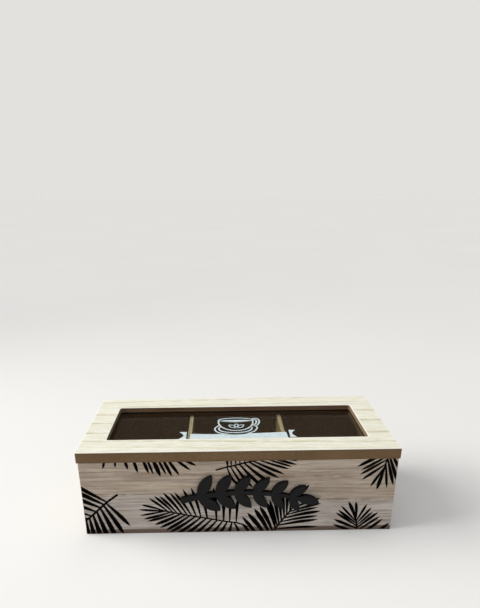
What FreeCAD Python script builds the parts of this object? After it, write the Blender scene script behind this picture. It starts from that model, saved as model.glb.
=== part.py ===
"""Tea bag box: a printed, veneered MDF box with three compartments and a hinged lid with a glass window.

Frame: millimetres, origin at the centre of the underside of the box, +X to the right, +Y to the back, +Z up.
The lid is closed. It turns on two small butt hinges screwed to the back.
"""

import FreeCAD
import Part

import math
import os

Vector = FreeCAD.Vector
X_AXIS = Vector(1, 0, 0)
Y_AXIS = Vector(0, 1, 0)
Z_AXIS = Vector(0, 0, 1)

same_place = 1e-4  # mm, between points that lie in one plane or on one line
cut_margin = 1.0  # mm that a cutting shape stands out past the face that it opens

# ---------------------------------------------------------------- driving dimensions, mm

# box
body_width = 238.0
body_depth = 95.5
body_height = 64.0
panel_core = 4.4  # MDF of the four walls
wall_veneer = 0.6  # wood sheet glued to the outside of each wall
bottom_thickness = 3.0
corner_rebate_depth = 1.5  # the side panels seat this deep in the front and back panels
edge_ease = 0.4  # sanded upright edges
bottom_edge_chamfer = 0.3
divider_thickness = 3.0
divider_drop = 2.0  # the dividers stop this far under the rim
divider_groove_depth = 1.5
groove_clearance = 0.05

# lid
lid_side_overhang = 1.0
lid_front_overhang = 0.5
lid_core = 8.0
lid_veneer_thickness = 0.6
lid_edge_chamfer = 0.3  # round the top of the veneer and of the window
lid_rail = 19.0  # width of the frame round the window
window_corner_radius = 2.0
pane_thickness = 2.0
pane_ledge = 5.0  # the glass and its beads lie this far under the frame
bead_thickness = 1.5
pane_clearance = 0.3

# hinges
hinge_end_distance = 43.0  # from the ends of the box to the middle of each hinge
hinge_length = 20.0
leaf_width = 8.0  # from the pin's axis to the leaf's edge
leaf_thickness = 0.8
leaf_corner_radius = 1.2
knuckle_radius = 1.4
pin_radius = 0.6
pin_clearance = 0.03
knuckle_stand_off = 0.15  # between the knuckle and the wood
knuckle_gap = 0.2
middle_knuckle = 7.6
leaf_notch_clearance = 0.25
screw_end_distance = 4.0  # from the ends of the leaf
screw_from_axis = 5.0
screw_length = 5.0
screw_shank_radius = 0.75
screw_slot_length = 1.8
screw_slot_width = 0.4
screw_slot_depth = 0.35
screw_clearance = 0.03

# T-headed brads of flat wire that hold the bottom panel
brad_width = 1.2  # along the wall
brad_thickness = 1.0
brad_length = 14.0
brad_head_width = 2.0
brad_head_height = 0.8
brad_sink = 0.2  # the heads are punched this deep
brad_clearance = 0.05
brads_per_long_wall = 3
brad_end_distance = 22.0  # from the ends of the long walls

# sprig glued to the front
sprig_centre_x = 8.5
sprig_centre_z = 36.5
sprig_thickness = 3.0
stem_chord = 88.0
stem_rise = 6.0
stem_start_width = 4.6
stem_end_width = 2.6
leaf_pairs = 6
first_pair_distance = 11.0  # from the stem's cut end
last_pair_distance = 8.0  # from the stem's thin end
long_leaf = 21.0
short_leaf = 15.0
leaf_slenderness = 0.42  # a leaf's width as a share of its length
leaf_angle = 47.0  # degrees from the stem
end_leaf = 18.0

# ---------------------------------------------------------------- worked out from them

wall = panel_core + wall_veneer
half_width = body_width / 2
half_depth = body_depth / 2
lid_half_width = half_width + lid_side_overhang
lid_front = -half_depth - lid_front_overhang
lid_back = half_depth
lid_core_top = body_height + lid_core
lid_top = lid_core_top + lid_veneer_thickness
window_x = lid_half_width - lid_rail
window_front = lid_front + lid_rail
window_back = lid_back - lid_rail
ledge_height = pane_thickness + bead_thickness

side_panel_reach = half_depth - wall + corner_rebate_depth  # half of a side panel's length
divider_reach = half_depth - wall + divider_groove_depth - groove_clearance
divider_top = body_height - divider_drop
inside_width = body_width - 2 * wall
middle_compartment = (inside_width - 2 * divider_thickness) / 3  # the three are equally wide
divider_x = (middle_compartment + divider_thickness) / 2

axis_y = half_depth + knuckle_radius + knuckle_stand_off
axis_z = body_height
outer_knuckle = (hinge_length - middle_knuckle) / 2 - knuckle_gap
hinge_x = half_width - hinge_end_distance
screw_spacing = hinge_length - 2 * screw_end_distance
screw_head_radius = screw_shank_radius + leaf_thickness  # a 90 degree countersink through the leaf
brad_wall_y = half_depth - wall_veneer - panel_core / 2
brad_wall_x = half_width - wall_veneer - panel_core / 2

stem_radius = stem_chord**2 / (8 * stem_rise) + stem_rise / 2
stem_half_angle = math.asin(stem_chord / 2 / stem_radius)
stem_length = 2 * stem_radius * stem_half_angle


# ---------------------------------------------------------------- shapes used by several pieces


def block(x_span, y_span, z_span):
    """A box from its two ends along each axis."""
    (x0, x1), (y0, y1), (z0, z1) = (sorted(span) for span in (x_span, y_span, z_span))
    return Part.makeBox(x1 - x0, y1 - y0, z1 - z0, Vector(x0, y0, z0))


def rounded_block(x_span, y_span, z_span, radius):
    """A box whose four upright edges are round."""
    shape = block(x_span, y_span, z_span)
    return shape.makeFillet(radius, edges_along(shape.Edges, Z_AXIS))


def edges_along(edges, axis):
    """The straight ones among some edges that run along an axis."""
    found = []
    for edge in edges:
        run = edge.Vertexes[-1].Point - edge.Vertexes[0].Point
        if run.Length > same_place and run.cross(axis).Length < same_place:
            found.append(edge)
    return found


def edges_at(shape, axis, place):
    """The edges of a shape that lie in the plane at one place on the axis "X", "Y" or "Z"."""
    ends = (axis + "Min", axis + "Max")
    return [
        edge
        for edge in shape.Edges
        if all(abs(getattr(edge.BoundBox, end) - place) < same_place for end in ends)
    ]


def polygon_prism(points, direction):
    """A flat outline of straight edges, pushed along a vector."""
    wire = Part.makePolygon([*points, points[0]])
    return Part.Face(wire).extrude(direction)


def fuse(shapes):
    """One clean solid from several that overlap."""
    return shapes[0].multiFuse(shapes[1:]).removeSplitter()


# ---------------------------------------------------------------- brads and screws: shapes and their holes


def brad_places():
    """Where the brads go up through the bottom panel: x, y, and whether the wall runs along X."""
    reach = half_width - brad_end_distance
    step = 2 * reach / (brads_per_long_wall - 1)
    places = [(-brad_wall_x, 0.0, False), (brad_wall_x, 0.0, False)]
    for y in (-brad_wall_y, brad_wall_y):
        places += [(-reach + step * i, y, True) for i in range(brads_per_long_wall)]
    return places


def brad(x, y, along_x, grow=0.0):
    """One brad, or its hole where it is grown by a clearance."""
    foot = -cut_margin if grow else brad_sink
    head = (brad_head_width / 2 + grow, foot, brad_sink + brad_head_height + grow)
    shank = (brad_width / 2 + grow, brad_sink, brad_sink + brad_length + grow)
    thin = brad_thickness / 2 + grow
    pieces = []
    for wide, low, high in (head, shank):
        half_x, half_y = (wide, thin) if along_x else (thin, wide)
        pieces.append(block((x - half_x, x + half_x), (y - half_y, y + half_y), (low, high)))
    return fuse(pieces)


def drill_brads(shape):
    """Cuts the holes of all brads out of a panel."""
    return shape.cut([brad(*place, grow=brad_clearance) for place in brad_places()])


def screw_places(side, up):
    """The two screws of a leaf, as (x, z). side is -1 for the left hinge, up is 1 for the lid's leaf."""
    middle = side * hinge_x
    z = axis_z + up * screw_from_axis
    return [(middle - screw_spacing / 2, z), (middle + screw_spacing / 2, z)]


def screw_blank(x, z, grow=0.0):
    """A countersunk screw that enters the wood along -Y, or its hole where it is grown."""
    top = leaf_thickness
    crown = top + (cut_margin if grow else 0)
    tip = top - screw_length - grow
    shank = screw_shank_radius + grow
    head = screw_head_radius + grow
    outline = [(0, crown), (0, tip), (shank, tip), (shank, 0), (head, top)]
    if grow:
        outline.append((head, crown))
    points = [Vector(radius, y, 0) for radius, y in outline]
    wire = Part.makePolygon([*points, points[0]])
    turned = Part.Face(wire).revolve(Vector(0, 0, 0), Y_AXIS, 360)
    turned.translate(Vector(x, half_depth, z))
    return turned


def screw(x, z):
    """A countersunk screw with a cross in its head."""
    shape = screw_blank(x, z)
    face = half_depth + leaf_thickness
    depth = (face - screw_slot_depth, face + cut_margin)
    reach = screw_slot_length / 2
    narrow = screw_slot_width / 2
    for across, up in ((reach, narrow), (narrow, reach)):
        shape = shape.cut(block((x - across, x + across), depth, (z - up, z + up)))
    return shape


def drill_screws(shape, up):
    """Cuts the holes of one row of hinge screws out of a panel or a leaf."""
    places = [place for side in (-1, 1) for place in screw_places(side, up)]
    return shape.cut([screw_blank(x, z, screw_clearance) for x, z in places])


# ---------------------------------------------------------------- box


def long_panel(side):
    """The core of the front (-1) or back (1) panel: rebated ends, and a groove for each divider."""
    outer = side * (half_depth - wall_veneer)
    inner = side * (half_depth - wall)
    shape = block((-half_width, half_width), (outer, inner), (bottom_thickness, body_height))
    rebate_floor = inner + side * corner_rebate_depth
    groove_floor = inner + side * divider_groove_depth
    groove_half = divider_thickness / 2 + groove_clearance
    height = (bottom_thickness, body_height)
    for end in (-1, 1):
        shape = shape.cut(
            block((end * (half_width - wall), end * half_width), (rebate_floor, inner), height)
        )
        middle = end * divider_x
        groove = block((middle - groove_half, middle + groove_half), (groove_floor, inner), height)
        shape = shape.cut(groove)
    return drill_brads(shape)


def front_panel():
    return long_panel(-1)


def back_panel():
    return drill_screws(long_panel(1), -1)


def side_panel(side):
    """The core of the left (-1) or right (1) panel, seated between the long panels."""
    span = (side * (half_width - wall), side * (half_width - wall_veneer))
    reach = (-side_panel_reach, side_panel_reach)
    return drill_brads(block(span, reach, (bottom_thickness, body_height)))


def long_veneer(side):
    """The wood sheet on the front (-1) or back (1) panel, with its upright corners sanded."""
    outer = side * half_depth
    inner = side * (half_depth - wall_veneer)
    shape = block((-half_width, half_width), (outer, inner), (bottom_thickness, body_height))
    corners = edges_along(edges_at(shape, "Y", outer), Z_AXIS)
    return shape.makeFillet(edge_ease, corners)


def front_veneer():
    return long_veneer(-1)


def back_veneer():
    return drill_screws(long_veneer(1), -1)


def side_veneer(side):
    """The wood sheet on the left (-1) or right (1) panel."""
    span = (side * (half_width - wall_veneer), side * half_width)
    reach = (-side_panel_reach, side_panel_reach)
    return block(span, reach, (bottom_thickness, body_height))


def bottom_panel():
    """The board under the walls, whose brown edge shows, with chamfered lower edges."""
    shape = rounded_block(
        (-half_width, half_width), (-half_depth, half_depth), (0, bottom_thickness), edge_ease
    )
    shape = shape.makeChamfer(bottom_edge_chamfer, edges_at(shape, "Z", 0.0))
    return drill_brads(shape)


def divider(side):
    """A thin board that slides into the grooves of the long panels."""
    middle = side * divider_x
    half = divider_thickness / 2
    return block(
        (middle - half, middle + half),
        (-divider_reach, divider_reach),
        (bottom_thickness, divider_top),
    )


def bottom_brads():
    return Part.makeCompound([brad(*place) for place in brad_places()])


# ---------------------------------------------------------------- sprig


def lens(length):
    """One leaf between two arcs, from the origin along +X."""
    base = Vector(0, 0, 0)
    tip = Vector(length, 0, 0)
    bulge = length * leaf_slenderness / 2
    upper = Part.Arc(base, Vector(length / 2, bulge, 0), tip).toShape()
    lower = Part.Arc(tip, Vector(length / 2, -bulge, 0), base).toShape()
    return Part.Face(Part.Wire([upper, lower])).extrude(Vector(0, 0, sprig_thickness))


def on_stem(distance):
    """The stem's middle line at a distance from its cut end: the point and the direction in degrees."""
    angle = distance / stem_radius - stem_half_angle
    point = Vector(stem_radius * math.sin(angle), stem_radius * (math.cos(angle) - 1), 0)
    return point, -math.degrees(angle)


def beside_stem(distance, offset):
    """A point at an offset to the left of the stem's middle line."""
    point, turn = on_stem(distance)
    angle = math.radians(turn)
    return point + Vector(-math.sin(angle), math.cos(angle), 0) * offset


def stem():
    """The tapered twig between two arcs, with a round cut end."""
    middle_width = (stem_start_width + stem_end_width) / 2
    widths = {0: stem_start_width, stem_length / 2: middle_width, stem_length: stem_end_width}
    upper = [beside_stem(distance, width / 2) for distance, width in widths.items()]
    lower = [beside_stem(distance, -width / 2) for distance, width in widths.items()]
    edges = [
        Part.Arc(*upper).toShape(),
        Part.LineSegment(upper[-1], lower[-1]).toShape(),
        Part.Arc(*reversed(lower)).toShape(),
        Part.LineSegment(lower[0], upper[0]).toShape(),
    ]
    twig = Part.Face(Part.Wire(edges)).extrude(Vector(0, 0, sprig_thickness))
    cut_end = Part.makeCylinder(stem_start_width / 2, sprig_thickness, on_stem(0)[0])
    return twig.fuse(cut_end)


def stem_leaf(distance, length, angle):
    """A leaf that leaves the stem at an angle to it."""
    point, turn = on_stem(distance)
    blade = lens(length)
    blade.rotate(Vector(0, 0, 0), Z_AXIS, turn + angle)
    blade.translate(point)
    return blade


def sprig():
    """A leafy twig cut from thin board, standing on the front veneer."""
    pieces = [stem(), stem_leaf(stem_length - stem_end_width, end_leaf, 0)]
    paired_stretch = stem_length - first_pair_distance - last_pair_distance
    for pair in range(leaf_pairs):
        share = pair / (leaf_pairs - 1)
        distance = first_pair_distance + paired_stretch * share
        length = long_leaf + (short_leaf - long_leaf) * share
        pieces += [stem_leaf(distance, length, way * leaf_angle) for way in (1, -1)]
    shape = fuse(pieces)
    shape.rotate(Vector(0, 0, 0), X_AXIS, 90)  # now it stands upright, its back at y = 0
    middle = shape.BoundBox.Center
    shape.translate(
        Vector(sprig_centre_x - middle.x, -half_depth, sprig_centre_z - middle.z)
    )
    return shape


# ---------------------------------------------------------------- lid


def window_hole(z_span):
    """The window with its round corners, as a solid to cut with."""
    return rounded_block(
        (-window_x, window_x), (window_front, window_back), z_span, window_corner_radius
    )


def lid_board():
    """The MDF of the lid: one board with the window cut through and a ledge under it for the glass."""
    shape = rounded_block(
        (-lid_half_width, lid_half_width),
        (lid_front, lid_back),
        (body_height, lid_core_top),
        edge_ease,
    )
    shape = shape.cut(window_hole((body_height - cut_margin, lid_core_top + cut_margin)))
    ledge = block(
        (-window_x - pane_ledge, window_x + pane_ledge),
        (window_front - pane_ledge, window_back + pane_ledge),
        (body_height - cut_margin, body_height + ledge_height),
    )
    return drill_screws(shape.cut(ledge), 1)


def lid_veneer():
    """The wood sheet on the lid, with a small chamfer round its top and round the window."""
    shape = rounded_block(
        (-lid_half_width, lid_half_width),
        (lid_front, lid_back),
        (lid_core_top, lid_top),
        edge_ease,
    )
    shape = shape.cut(window_hole((lid_core_top - cut_margin, lid_top + cut_margin)))
    return shape.makeChamfer(lid_edge_chamfer, edges_at(shape, "Z", lid_top))


def window_pane():
    """The glass, loose by a hair in its ledge."""
    reach = pane_ledge - pane_clearance
    return block(
        (-window_x - reach, window_x + reach),
        (window_front - reach, window_back + reach),
        (body_height + bead_thickness, body_height + ledge_height),
    )


def window_corners(reach):
    """The corners of the window pushed out by a reach, counter-clockwise from the front left."""
    left, right = -window_x - reach, window_x + reach
    front, back = window_front - reach, window_back + reach
    return [(left, front), (right, front), (right, back), (left, back)]


def glazing_bead(corner):
    """A mitred strip under the glass, from one corner of the window to the next."""
    inner = window_corners(0)
    outer = window_corners(pane_ledge)
    outline = [outer[corner - 1], outer[corner], inner[corner], inner[corner - 1]]
    points = [Vector(x, y, body_height) for x, y in outline]
    return polygon_prism(points, Vector(0, 0, bead_thickness))


# ---------------------------------------------------------------- hinges


def hinge_leaf(side, up):
    """A hinge leaf with its curled knuckles. up is 1 for the lid's leaf, with the middle knuckle,
    and -1 for the box's leaf, with the two outer ones."""
    middle = side * hinge_x
    left = middle - hinge_length / 2
    right = middle + hinge_length / 2
    inner_left = middle - middle_knuckle / 2
    inner_right = middle + middle_knuckle / 2
    if up > 0:
        knuckles = [(inner_left, inner_right)]
        notches = [(left - cut_margin, inner_left), (inner_right, right + cut_margin)]
    else:
        knuckles = [(left, left + outer_knuckle), (right - outer_knuckle, right)]
        notches = [(left + outer_knuckle, right - outer_knuckle)]
    far = axis_z + up * leaf_width
    plate_y = (half_depth, half_depth + leaf_thickness)
    plate = block((left, right), plate_y, (axis_z, far))
    plate = plate.makeFillet(leaf_corner_radius, edges_along(edges_at(plate, "Z", far), Y_AXIS))
    notch_y = (half_depth - cut_margin, half_depth + leaf_thickness + cut_margin)
    notch_z = (axis_z - up * cut_margin, axis_z + up * (knuckle_radius + leaf_notch_clearance))
    plate = plate.cut([block(notch_x, notch_y, notch_z) for notch_x in notches])
    rings = [
        Part.makeCylinder(knuckle_radius, x1 - x0, Vector(x0, axis_y, axis_z), X_AXIS)
        for x0, x1 in knuckles
    ]
    shape = fuse([plate, *rings])
    bore_start = Vector(left - cut_margin, axis_y, axis_z)
    bore_length = hinge_length + 2 * cut_margin
    bore = Part.makeCylinder(pin_radius + pin_clearance, bore_length, bore_start, X_AXIS)
    return drill_screws(shape.cut(bore), up)


def hinge_pin(side):
    start = Vector(side * hinge_x - hinge_length / 2, axis_y, axis_z)
    return Part.makeCylinder(pin_radius, hinge_length, start, X_AXIS)


def leaf_screws(side, up):
    return Part.makeCompound([screw(x, z) for x, z in screw_places(side, up)])


# ---------------------------------------------------------------- the assembly

SIDES = {"left": -1, "right": 1}
BEADS = ("left", "front", "right", "back")  # each ends at one of the window's corners, in their order


def assembly():
    """Every piece of the tea box by its node's name."""
    nodes = {
        "front_panel": front_panel(),
        "back_panel": back_panel(),
        "bottom_panel": bottom_panel(),
        "bottom_brads": bottom_brads(),
        "front_veneer": front_veneer(),
        "back_veneer": back_veneer(),
        "sprig_ornament": sprig(),
        "lid_board": lid_board(),
        "lid_veneer": lid_veneer(),
        "window_pane": window_pane(),
    }
    for corner, name in enumerate(BEADS):
        nodes[f"glazing_bead_{name}"] = glazing_bead(corner)
    for name, side in SIDES.items():
        nodes[f"{name}_panel"] = side_panel(side)
        nodes[f"{name}_veneer"] = side_veneer(side)
        nodes[f"{name}_divider"] = divider(side)
        nodes[f"{name}_hinge_pin"] = hinge_pin(side)
        nodes[f"{name}_hinge_box_leaf"] = hinge_leaf(side, -1)
        nodes[f"{name}_hinge_lid_leaf"] = hinge_leaf(side, 1)
        nodes[f"{name}_hinge_box_screws"] = leaf_screws(side, -1)
        nodes[f"{name}_hinge_lid_screws"] = leaf_screws(side, 1)
    return nodes


def main():
    os.makedirs("parts", exist_ok=True)
    for name, shape in assembly().items():
        shape.exportStep(f"parts/{name}.step")
        print(name, "solids", len(shape.Solids), "valid", shape.isValid(), "mm3", round(shape.Volume, 1))


main()
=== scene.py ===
import math

import bmesh
import bpy
from mathutils import Matrix, Vector


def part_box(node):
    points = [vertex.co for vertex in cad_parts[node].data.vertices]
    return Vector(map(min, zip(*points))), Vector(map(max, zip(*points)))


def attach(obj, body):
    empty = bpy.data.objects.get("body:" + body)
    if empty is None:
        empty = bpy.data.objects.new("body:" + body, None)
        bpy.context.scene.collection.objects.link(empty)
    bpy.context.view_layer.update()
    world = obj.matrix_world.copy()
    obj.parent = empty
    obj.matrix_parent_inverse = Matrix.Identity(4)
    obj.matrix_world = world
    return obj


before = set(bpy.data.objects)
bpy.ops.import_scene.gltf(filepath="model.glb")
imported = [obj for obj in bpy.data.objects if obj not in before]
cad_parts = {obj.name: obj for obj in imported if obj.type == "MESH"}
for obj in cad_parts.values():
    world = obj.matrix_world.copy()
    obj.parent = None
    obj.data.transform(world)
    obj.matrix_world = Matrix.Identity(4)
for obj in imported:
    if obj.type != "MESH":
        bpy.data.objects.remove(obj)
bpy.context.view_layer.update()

# A tea bag box: three compartments under a hinged lid with a glass window.
# Everything here is in metres, and sizes are written in millimetres times MM.

MM = 0.001

box_low, box_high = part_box("front_veneer")
bottom_low, bottom_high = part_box("bottom_panel")
lid_low, lid_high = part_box("lid_board")
veneer_low, veneer_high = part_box("lid_veneer")
glass_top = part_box("window_pane")[1].z
divider_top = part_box("left_divider")[1].z
bead_left_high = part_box("glazing_bead_left")[1]
bead_front_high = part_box("glazing_bead_front")[1]
bead_back_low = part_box("glazing_bead_back")[0]

# Half the window's width and depth: the glazing beads are flush with its walls.
WINDOW_REACH = Vector((-bead_left_high.x, (bead_back_low.y - bead_front_high.y) / 2))


# ---- Camera ------------------------------------------------------------------------------

SENSOR = 36.0                      # millimetres along the picture's long side
PICTURE_WIDTH = 480
PICTURE_HEIGHT = 608
FOCAL_PIXELS = 475.7
CENTRE_ACROSS = 226.1              # where the lens axis meets the picture, in its pixels
CENTRE_DOWN = 368.2
CAMERA_PLACE = Vector((-11.8, -353.8, 249.6)) * MM
CAMERA_TILT = math.radians(20.22)  # looking down
CAMERA_TURN = math.radians(0.59)   # to the right
CAMERA_ROLL = math.radians(0.56)
CLIP_START = 0.01
CLIP_END = 100.0


def make_camera():
    """The camera: a tabletop view, a little above the lid and close to the front."""
    lens = bpy.data.cameras.new("tabletop_camera")
    lens.sensor_width = SENSOR
    lens.lens = FOCAL_PIXELS / PICTURE_HEIGHT * SENSOR
    lens.shift_x = (PICTURE_WIDTH / 2 - CENTRE_ACROSS) / PICTURE_HEIGHT
    lens.shift_y = (CENTRE_DOWN - PICTURE_HEIGHT / 2) / PICTURE_HEIGHT
    lens.clip_start = CLIP_START
    lens.clip_end = CLIP_END
    camera = bpy.data.objects.new("tabletop_camera", lens)
    turned = Matrix.Rotation(-CAMERA_TURN, 4, "Z")
    tilted = Matrix.Rotation(math.radians(90) - CAMERA_TILT, 4, "X")
    rolled = Matrix.Rotation(-CAMERA_ROLL, 4, "Z")
    camera.matrix_world = Matrix.Translation(CAMERA_PLACE) @ turned @ tilted @ rolled
    bpy.context.scene.collection.objects.link(camera)
    bpy.context.scene.camera = camera


# ---- Small helpers for finishes ------------------------------------------------------------

# The blend node's sockets: its factor, its two colours and two numbers, and what comes out.
FACTOR = 0
FIRST = 6
SECOND = 7
BLENDED = 2
FIRST_NUMBER = 2
SECOND_NUMBER = 3
BLENDED_NUMBER = 0

# Most of a noise pattern's values lie between these two, round its middle.
NOISE_LOW = 0.3
NOISE_HIGH = 0.7
NOISE_MIDDLE = (0.5, 0.5, 0.5)


def linear(colour):
    """An sRGB hex colour as linear red, green, blue and a full alpha."""
    parts = [int(colour[place:place + 2], 16) / 255 for place in (0, 2, 4)]
    return [c / 12.92 if c <= 0.04045 else ((c + 0.055) / 1.055) ** 2.4 for c in parts] + [1.0]


def plug(tree, node, sockets):
    """Fills a node's sockets: linked where the value is another node's socket, and set otherwise."""
    for name, value in sockets.items():
        if isinstance(value, bpy.types.NodeSocket):
            tree.links.new(value, node.inputs[name])
        else:
            node.inputs[name].default_value = value


def add(tree, kind, sockets=None, stops=None, **settings):
    """Adds a node with its settings, its sockets (linked or set) and, for a ramp, its colour stops."""
    node = tree.nodes.new(kind)
    for name, value in settings.items():
        setattr(node, name, value)
    plug(tree, node, sockets or {})
    for place, (share, colour) in enumerate(stops or []):
        ramp = node.color_ramp.elements
        stop = ramp[place] if place < len(ramp) else ramp.new(share)
        stop.position = share
        stop.color = linear(colour)
    return node


def new_finish(name):
    """An empty material: the material, its node tree, its shader and its Object coordinates."""
    material = bpy.data.materials.new(name)
    material.use_nodes = True
    tree = material.node_tree
    shader = tree.nodes["Principled BSDF"]
    place = tree.nodes.new("ShaderNodeTexCoord").outputs["Object"]
    return material, tree, shader, place


def per_mm(spacing):
    """The pattern scale, in repeats per metre, of something that repeats every so many millimetres."""
    return 1.0 / (spacing * MM)


def drawn_out(tree, place, along, length, breadth, detail, roughness=0.5):
    """A noise drawn out along one axis: its marks are `length` mm long there and `breadth` mm wide."""
    scale = [per_mm(breadth)] * 3
    scale["XYZ".index(along)] = per_mm(length)
    lie = add(tree, "ShaderNodeMapping", {"Vector": place, "Scale": scale})
    return add(tree, "ShaderNodeTexNoise", {
        "Vector": lie.outputs["Vector"], "Scale": 1.0, "Detail": detail, "Roughness": roughness})


def from_sides(tree, place, low, high):
    """How far a point lies in from a board's nearest side, and how far off its middle on each axis."""
    middle = (low + high) / 2
    reach = (high - low) / 2
    offset = add(tree, "ShaderNodeVectorMath", {0: place, 1: middle}, operation="SUBTRACT")
    offset = add(tree, "ShaderNodeVectorMath", {0: offset.outputs["Vector"]}, operation="ABSOLUTE")
    offset = add(tree, "ShaderNodeSeparateXYZ", {"Vector": offset.outputs["Vector"]})
    from_end = add(tree, "ShaderNodeMath", {0: reach.x, 1: offset.outputs["X"]}, operation="SUBTRACT")
    from_front = add(tree, "ShaderNodeMath", {0: reach.y, 1: offset.outputs["Y"]}, operation="SUBTRACT")
    nearest = add(tree, "ShaderNodeMath", {
        0: from_end.outputs["Value"], 1: from_front.outputs["Value"]}, operation="MINIMUM")
    return nearest.outputs["Value"], offset


def past_window(tree, offset):
    """How far a point lies past the window's end walls, and past the nearest of its four walls."""
    past_end = add(tree, "ShaderNodeMath", {
        0: offset.outputs["X"], 1: WINDOW_REACH.x}, operation="SUBTRACT").outputs["Value"]
    past_side = add(tree, "ShaderNodeMath", {
        0: offset.outputs["Y"], 1: WINDOW_REACH.y}, operation="SUBTRACT").outputs["Value"]
    past_wall = add(tree, "ShaderNodeMath", {0: past_end, 1: past_side}, operation="MAXIMUM")
    return past_end, past_wall.outputs["Value"]


# ---- Wooden finishes -----------------------------------------------------------------------

FIBRE_RELIEF = 0.06 * MM           # how deep the furrows between fibres are
RING_HALF = 0.3                    # half a year ring's dark line, in mm
RING_FADED = 0.9                   # where its darkening has gone on the far side, in mm
RING_MARGIN = 10                   # plain wood past the outermost rings, in mm
FRAY = 1.2                         # how far a ring strays at every fibre, in mm


def veneer(name, along, across, tones, pore, fibre_length, rings, slope, spread, sway_reach):
    """Sliced straight-grained veneer, sanded and left matt.

    along is the grain's axis and across the one that the year rings follow each other in. tones
    run from the early to the dense wood, pore is the tint of the short dark dashes, and
    fibre_length how long the streaks are, in mm. rings gives each dark line where a year ends:
    where it is and how far its darkening reaches back, in mm across, and its tint. The lines climb
    by slope and draw apart by spread, both for each metre along, and wander by up to sway_reach mm.

    It returns the material, its tree, its shader, its coordinates, the wood's colour and the place
    across the rings.
    """
    material, tree, shader, place = new_finish(name)

    # The rings wander slowly, fray a little, climb and draw apart along the sheet. Each straying
    # has the length and breadth of its waves in mm, its detail and how far it reaches.
    strayed = place
    for length, breadth, detail, reach in ((70, 40, 2.0, sway_reach), (14, 5, 4.0, FRAY)):
        noise = drawn_out(tree, place, along, length, breadth, detail)
        centred = add(tree, "ShaderNodeVectorMath", {
            0: noise.outputs["Color"], 1: NOISE_MIDDLE}, operation="SUBTRACT")
        strayed = add(tree, "ShaderNodeVectorMath", {
            0: centred.outputs["Vector"], 1: [reach * MM] * 3, 2: strayed},
            operation="MULTIPLY_ADD").outputs["Vector"]
    lengthwise = add(tree, "ShaderNodeSeparateXYZ", {"Vector": place}).outputs[along]
    crosswise = add(tree, "ShaderNodeSeparateXYZ", {"Vector": strayed}).outputs[across]
    climbed = add(tree, "ShaderNodeMath", {
        0: lengthwise, 1: -slope, 2: crosswise}, operation="MULTIPLY_ADD")
    widening = add(tree, "ShaderNodeMath", {
        0: lengthwise, 1: spread, 2: 1.0}, operation="MULTIPLY_ADD")
    at_ring = add(tree, "ShaderNodeMath", {
        0: climbed.outputs["Value"], 1: widening.outputs["Value"]},
        operation="DIVIDE").outputs["Value"]
    first = rings[0][0] - RING_MARGIN
    last = rings[-1][0] + RING_MARGIN
    through = add(tree, "ShaderNodeMapRange", {
        "Value": at_ring, "From Min": first * MM, "From Max": last * MM})
    ring_stops = []
    for ring, reach, tint in rings:
        for offset, shade in (
                (-reach, "ffffff"), (-RING_HALF, tint), (RING_HALF, tint), (RING_FADED, "ffffff")):
            ring_stops.append(((ring + offset - first) / (last - first), shade))
    ring_tint = add(tree, "ShaderNodeValToRGB", {"Fac": through.outputs["Result"]}, stops=ring_stops)
    broken = drawn_out(tree, place, along, 18, 9, 3.0)
    broken_share = add(tree, "ShaderNodeMapRange", {
        "Value": broken.outputs["Fac"], "From Min": 0.36, "From Max": 0.56},
        interpolation_type="SMOOTHSTEP")

    # Fibre bundles are under half a millimetre wide; they are drawn 1.15 mm wide so that they show.
    fibre = drawn_out(tree, place, along, fibre_length, 1.15, 4.0, 0.6)
    streak = drawn_out(tree, place, along, 80, 5, 3.0)
    grain = add(tree, "ShaderNodeMix", {
        FACTOR: 0.22, FIRST_NUMBER: fibre.outputs["Fac"], SECOND_NUMBER: streak.outputs["Fac"]},
        data_type="FLOAT")
    wood = add(tree, "ShaderNodeValToRGB", {"Fac": grain.outputs[BLENDED_NUMBER]}, stops=tones)

    # Pores are hair-thin dashes up to 8 mm long, drawn 0.9 mm wide.
    pores = drawn_out(tree, place, along, 8, 0.9, 2.0)
    pore_share = add(tree, "ShaderNodeMapRange", {
        "Value": pores.outputs["Fac"], "From Min": 0.56, "From Max": 0.72,
        "To Min": 0.0, "To Max": 0.6}, interpolation_type="SMOOTHSTEP")
    wood = add(tree, "ShaderNodeMix", {
        FACTOR: pore_share.outputs["Result"], FIRST: wood.outputs["Color"], SECOND: linear(pore)},
        data_type="RGBA")
    wood = add(tree, "ShaderNodeMix", {
        FACTOR: broken_share.outputs["Result"], FIRST: wood.outputs[BLENDED],
        SECOND: ring_tint.outputs["Color"]}, data_type="RGBA", blend_type="MULTIPLY")

    # Dense late wood sands smoother than the open early wood.
    gloss = add(tree, "ShaderNodeMapRange", {
        "Value": fibre.outputs["Fac"], "From Min": NOISE_LOW, "From Max": NOISE_HIGH,
        "To Min": 0.72, "To Max": 0.56})
    furrow = add(tree, "ShaderNodeMath", {
        0: fibre.outputs["Fac"], 1: pore_share.outputs["Result"]}, operation="SUBTRACT")
    relief = add(tree, "ShaderNodeBump", {
        "Height": furrow.outputs["Value"], "Strength": 0.3, "Distance": FIBRE_RELIEF})
    plug(tree, shader, {
        "Roughness": gloss.outputs["Result"], "Normal": relief.outputs["Normal"],
        "IOR": 1.5, "Specular IOR Level": 0.3})
    return material, tree, shader, place, wood.outputs[BLENDED], at_ring


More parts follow.
